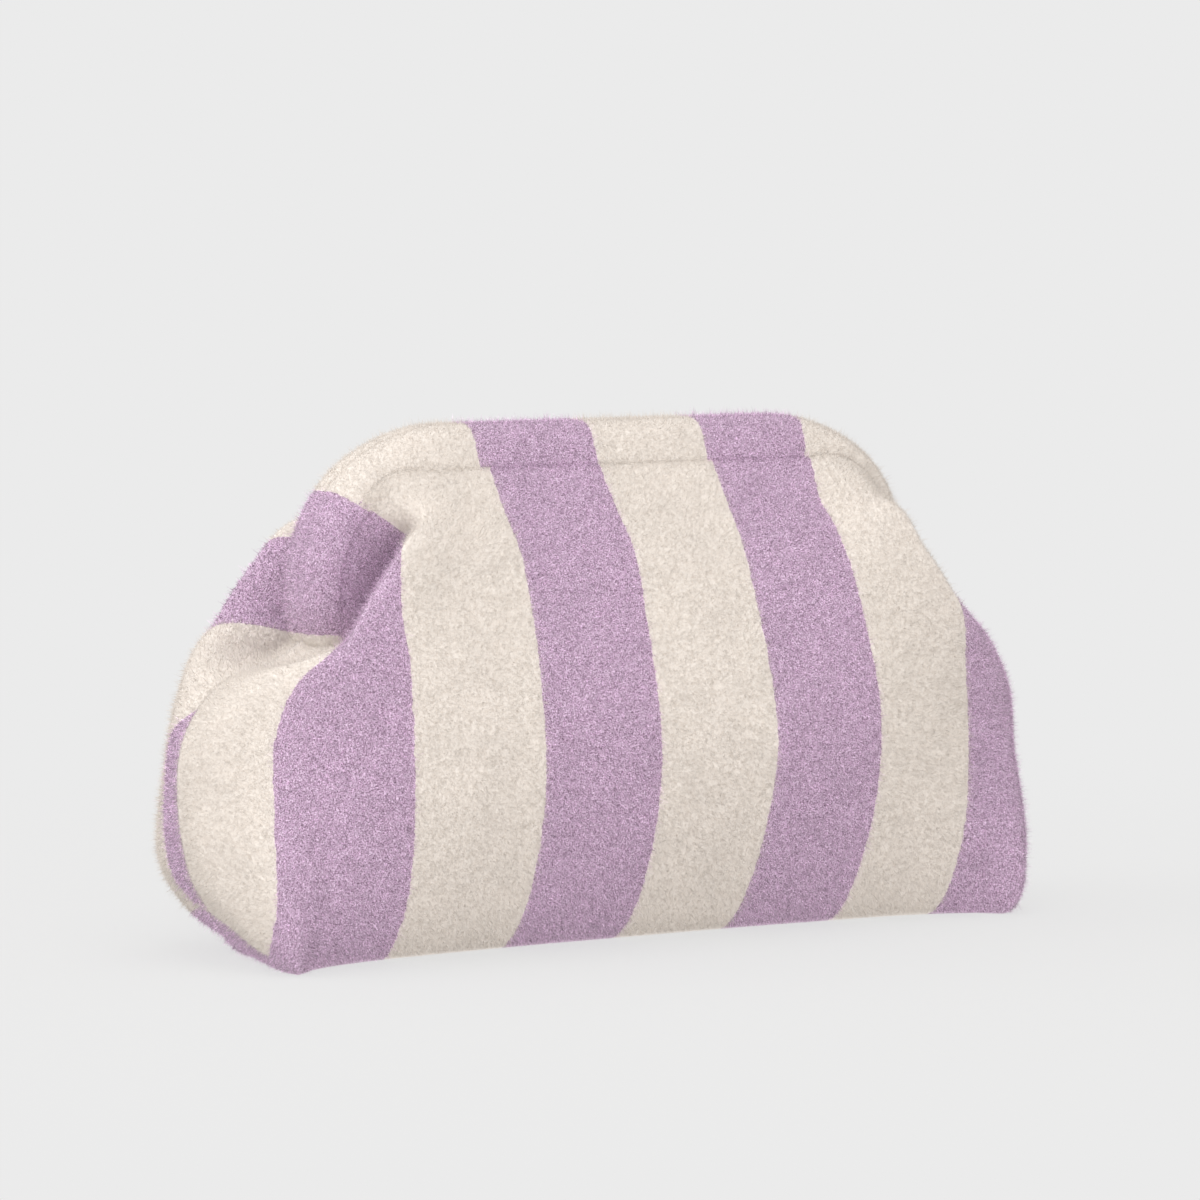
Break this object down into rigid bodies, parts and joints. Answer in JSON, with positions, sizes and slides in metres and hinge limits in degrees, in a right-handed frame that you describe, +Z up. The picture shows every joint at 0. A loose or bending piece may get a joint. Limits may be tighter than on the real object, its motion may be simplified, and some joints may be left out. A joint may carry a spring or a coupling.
{
  "type": "pouch bag",
  "caption": "Soft plush pouch bag with broad stripes, a boxed base and a slit mouth held by a hidden hinged frame inside folded casings.",
  "frame": {"origin": "on the floor under the middle of the bag", "axes": "+X along the mouth to the bag's right as seen from the front, +Y to the back, +Z up"},
  "size_m": [0.3348, 0.1202, 0.1805],
  "materials": {
    "panel_plush": "short dense plush in lilac and cream stripes",
    "casing_plush": "short dense plush in lilac and cream stripes",
    "frame_steel": "plain steel, hidden inside the casings"
  },
  "bodies": {
    "root": {"front_panel": "panel_plush", "back_panel": "panel_plush", "front_casing": "casing_plush", "back_casing": "casing_plush", "hinge_frame": "frame_steel"}
  },
  "joints": []
}
